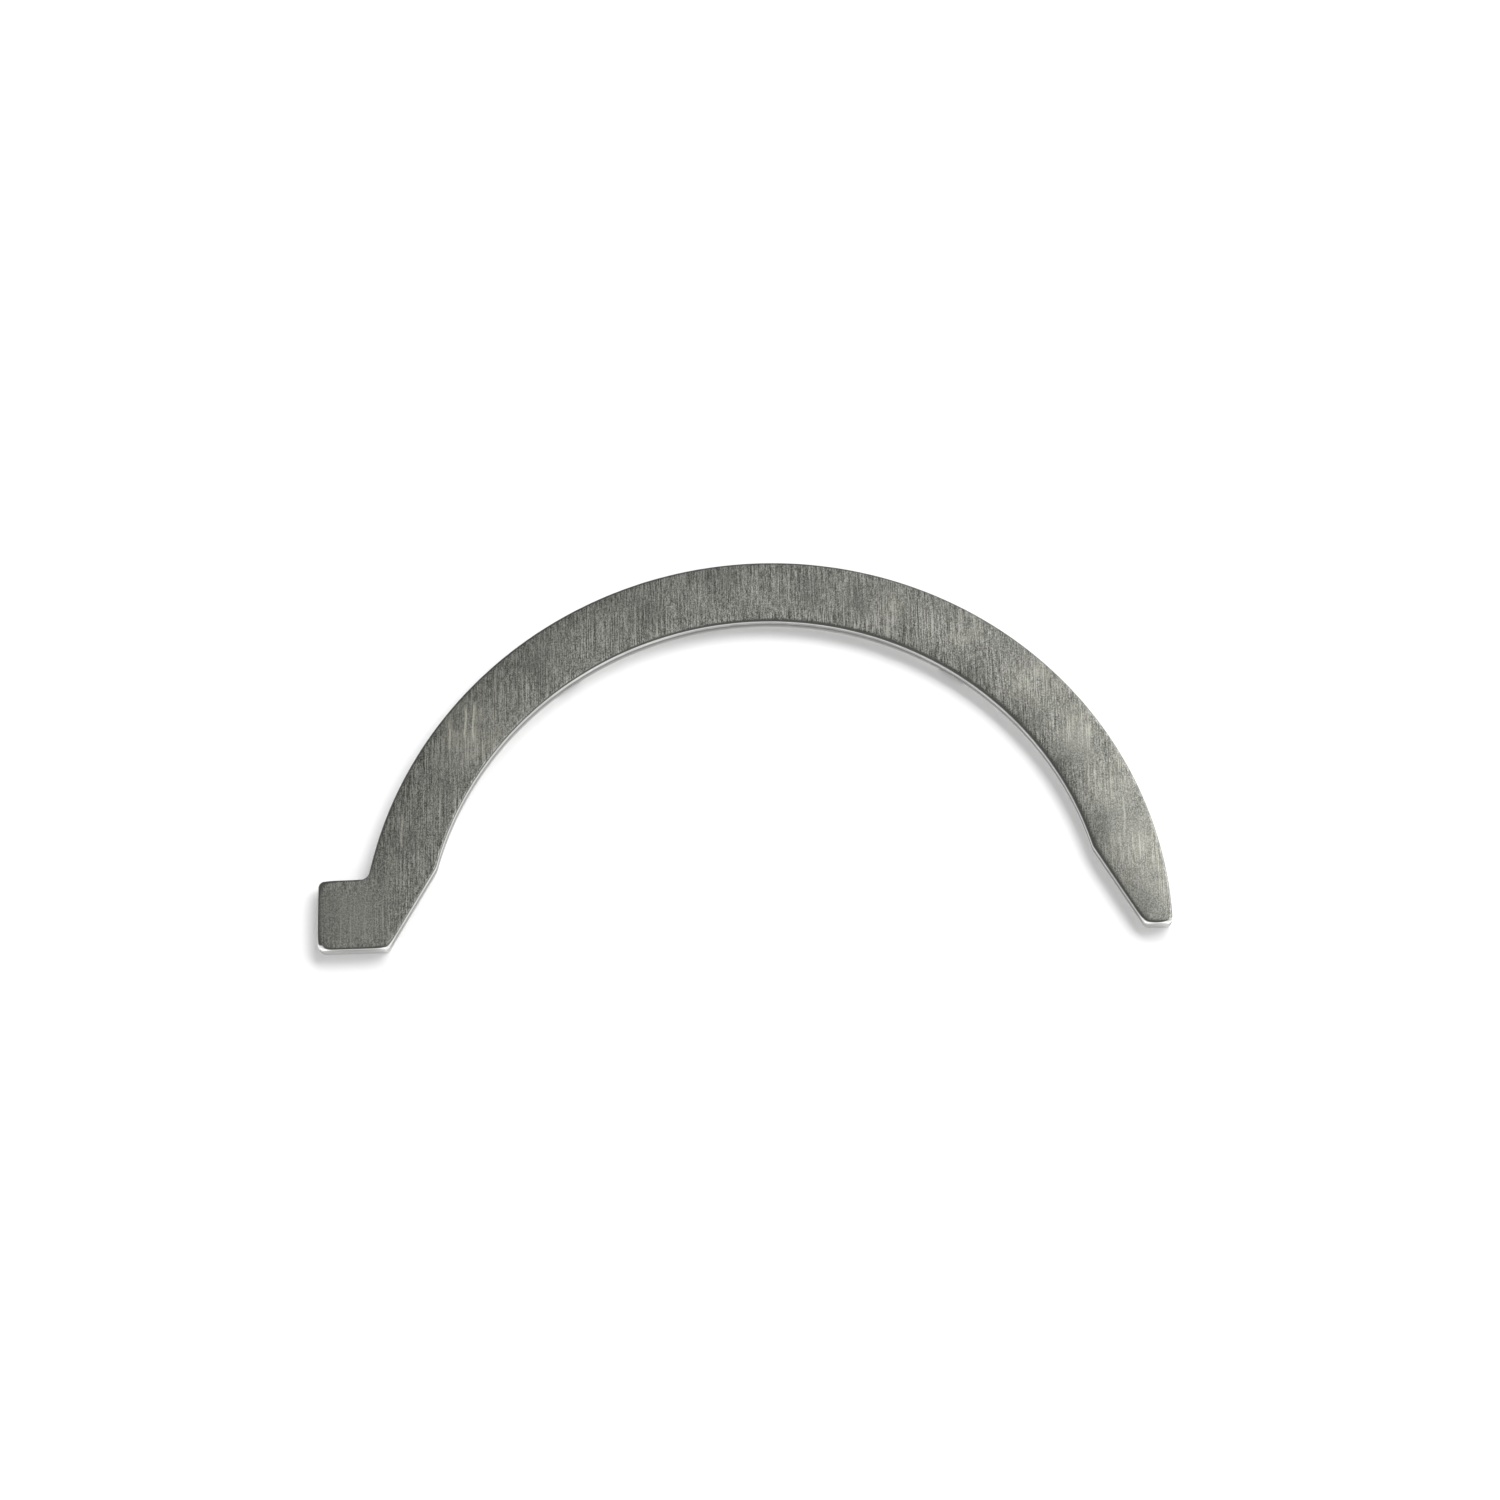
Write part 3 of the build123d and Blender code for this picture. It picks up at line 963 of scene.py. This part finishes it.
shares_in, shares_up = axes_of(tree, step_in), axes_of(tree, step_up)
under_roll = plus(tree, times(tree, width, shares_in["Y"]), times(tree, given["Border"], shares_in["Z"]))
inwards = vector_of(tree, "ADD", scaled(tree, leaning, under_roll), scaled(tree, outwards, shares_in["X"]))
wall_height = minus(tree, minus(tree, given["Thickness"], drop), given["Broken Edge"])
height = vector_of(tree, "DOT_PRODUCT", step_up, vector_from(tree, given["Broken Edge"], wall_height, drop))
height = minus(tree, height, times(tree, drawn_down(under_roll), shares_up["Z"]))

# %% [markdown]
# ## The torn zone
#
# Where the steel cracked instead of being cut, the wall leans in a little, is rough, and meets the
# bright zone along a line that wanders. A bump in the material would show the roughness but not the
# line, which is what the eye picks out. So the points themselves are moved. The end faces stay flat,
# since they were trimmed.

# %% Geometry Nodes: the torn zone
CRAGS, MOSTLY_IN = {"scale": 2.6, "detail": 2.0, "roughness": 0.7}, 0.62
WANDER, WANDER_GAIN = {"scale": 0.9, "detail": 3.0, "roughness": 0.6}, 8.0

wall_share = shares_up["Y"]
deep = ramp_of(tree, math_of(tree, "DIVIDE", wall_share, given["Torn Share"]), 0.0, 1.0, 1.0, 0.0)
only_torn = times(tree, stored("torn"), minus(tree, 1.0, stored("trimmed")))
on_wall_place = vector_of(tree, "ADD", rim_place, vector_from(tree, z=height))
crags = minus(tree, noise(tree, scaled(tree, on_wall_place, 1 / MM), **CRAGS), MOSTLY_IN)
rough_out = times(tree, crags, given["Torn Roughness"], only_torn)
lean_in = times(tree, deep, given["Torn Recess"], only_torn)
torn_out = math_of(tree, "MINIMUM", minus(tree, rough_out, lean_in), 0.0)
wander = minus(tree, noise(tree, scaled(tree, rim_place, 1 / MM), **WANDER), MIDDLE)
mid_wall = times(tree, wall_share, minus(tree, 1.0, wall_share))
wander_up = times(tree, wander, given["Tear Line Wander"], times(tree, mid_wall, WANDER_GAIN))

flat_place = vector_of(tree, "ADD", vector_of(tree, "SUBTRACT", rim_place, inwards),
                       scaled(tree, outwards, torn_out))
raised = vector_from(tree, z=plus(tree, height, wander_up))
final_place = vector_of(tree, "ADD", flat_place, raised)
edge = geometry("FlipFaces", {"Mesh": geometry("SetPosition", {"Geometry": swept, "Position": final_place})})
print("the tree so far:", len(tree.nodes), "nodes")

# %% Geometry Nodes: the two flats, welded to the edge
WELD_WITHIN = 2e-6

back_height = minus(tree, given["Thickness"], drawn_down(stored("from_rim")))
back = geometry("SetPosition", {
    "Geometry": object_mesh(given["Back Sheet"]), "Offset": vector_from(tree, z=back_height)})

running_in = plus(tree, given["Border"], given["Broken Edge"])
running_border = vector_of(tree, "SUBTRACT", rim_place, scaled(tree, outwards, running_in))
running_curve = geometry("SetPosition", {"Geometry": outline_curve, "Position": running_border})
running_flat = geometry("FillCurve", {"Curve": running_curve}, mode="TRIANGLES")
running_flat = geometry("FlipFaces", {"Mesh": running_flat})

closed = put(tree, "GeometryNodeJoinGeometry")
for piece in (back, running_flat, edge):
    tree.links.new(piece, closed.inputs[0])
welded = geometry("MergeByDistance", {"Geometry": closed.outputs[0], "Distance": WELD_WITHIN})

# %% [markdown]
# ## The grooves, and what is smooth
#
# The running face has two oil grooves, which a cutter sinks across the band. Each is cut by a round bar
# that lies along the radius. The pair is one bar on two points, turned to either side. After the cut,
# edges that turn sharply are creased and all others are smooth, and whatever faces down takes the
# finish of the running face.

# %% Geometry Nodes: the grooves
BAR_SIDES = 192

bar = geometry("MeshCylinder", {
    "Vertices": BAR_SIDES, "Radius": given["Groove Bar Radius"], "Depth": given["Bar Length"]})
sunk = minus(tree, given["Groove Depth"], given["Groove Bar Radius"])
across = geometry("Transform", {
    "Geometry": bar, "Translation": vector_from(tree, y=given["Band Middle"], z=sunk),
    "Rotation": (math.pi / 2, 0, 0)})
pair = geometry("MeshLine", {"Count": 2, "Offset": (0, 0, 0)})
side = ramp_of(tree, put(tree, "GeometryNodeInputIndex").outputs[0], 0.0, 1.0, -1.0, 1.0)
turned = vector_from(tree, z=times(tree, side, given["Groove Angle"]))
bars = geometry("InstanceOnPoints", {"Points": pair, "Instance": across, "Rotation": turned})
cutters = geometry("RealizeInstances", {"Geometry": bars})
grooved = geometry("MeshBoolean", {"Mesh 1": welded, "Mesh 2": cutters},
                   operation="DIFFERENCE", solver="EXACT")

# %% Geometry Nodes: the smooth edges and the finishes
SHARP_ABOVE = math.radians(24)
FACES_DOWN = -0.78

smooth = geometry("SetShadeSmooth", {"Geometry": grooved, "Shade Smooth": True}, domain="FACE")
turn = put(tree, "GeometryNodeInputMeshEdgeAngle").outputs["Unsigned Angle"]
sharp = put(tree, "FunctionNodeCompare", {"A": turn, "B": SHARP_ABOVE}, operation="GREATER_THAN").outputs[0]
creased = geometry("SetShadeSmooth", {"Geometry": smooth, "Selection": sharp, "Shade Smooth": False},
                   domain="EDGE")
realized = geometry("RealizeInstances", {"Geometry": creased})
facing = axes_of(tree, put(tree, "GeometryNodeInputNormal").outputs["True Normal"])["Z"]
downwards = put(tree, "FunctionNodeCompare", {"A": facing, "B": FACES_DOWN}, operation="LESS_THAN").outputs[0]
dressed = geometry("SetMaterial", {"Geometry": realized, "Material": given["Steel"]})
dressed = geometry("SetMaterial", {
    "Geometry": dressed, "Selection": downwards, "Material": given["Running Face"]})
tree.links.new(dressed, out["Washer"])
print("the whole tree:", len(tree.nodes), "nodes")

# %% [markdown]
# ## From the tree to a plain mesh
#
# The washer has to leave this file as a mesh, so the tree runs once and its result takes the outline's
# place. The sweep leaves an empty first material slot, and the values that only the tree read. Both are
# removed, and what the material reads stays: `torn`, `off_belt`, `corner` and `trimmed`.

# %% Run the tree, and keep its result
ONLY_FOR_THE_TREE = ["rim", "outward", "lean", "roll_width", "roll_drop", "draw_share", "from_rim",
                     "step_in", "step_up"]

modifier = outline.modifiers.new("blank", "NODES")
modifier.node_group = plate
sockets = {item.name: item.identifier for item in plate.interface.items_tree if item.in_out == "INPUT"}
handed_in = {"Section": section, "Back Sheet": sheet, "Steel": steel, "Running Face": running}
for label, value in handed_in.items():
    modifier[sockets[label]] = value
bpy.context.view_layer.update()
depsgraph = bpy.context.evaluated_depsgraph_get()
washer_mesh = bpy.data.meshes.new_from_object(outline.evaluated_get(depsgraph))
washer_mesh.name = "thrust_washer_linished"
washer = outline
washer.modifiers.remove(modifier)
washer.data = washer_mesh

while None in list(washer_mesh.materials):
    washer_mesh.materials.pop(index=list(washer_mesh.materials).index(None))
for name in ONLY_FOR_THE_TREE:
    if name in washer_mesh.attributes:
        washer_mesh.attributes.remove(washer_mesh.attributes[name])
for helper in (section, sheet):
    bpy.data.objects.remove(helper)

# %% Measure what was made
import bmesh

bm = bmesh.new()
bm.from_mesh(washer_mesh)
open_edges = sum(1 for e in bm.edges if not e.is_manifold)
print("volume in mm3, below 0 if inside out:", round(bm.calc_volume(signed=True) / MM**3, 1), "; faces",
      len(bm.faces), "; open edges", open_edges, "; triangles", sum(len(f.verts) - 2 for f in bm.faces))
bm.free()
on_material = np.bincount([face.material_index for face in washer_mesh.polygons])
print("faces of each material:", {m.name: int(n) for m, n in zip(washer_mesh.materials, on_material)})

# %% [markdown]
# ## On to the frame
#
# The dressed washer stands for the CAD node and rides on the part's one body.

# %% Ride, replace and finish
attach(washer, "root")
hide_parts("thrust_washer")
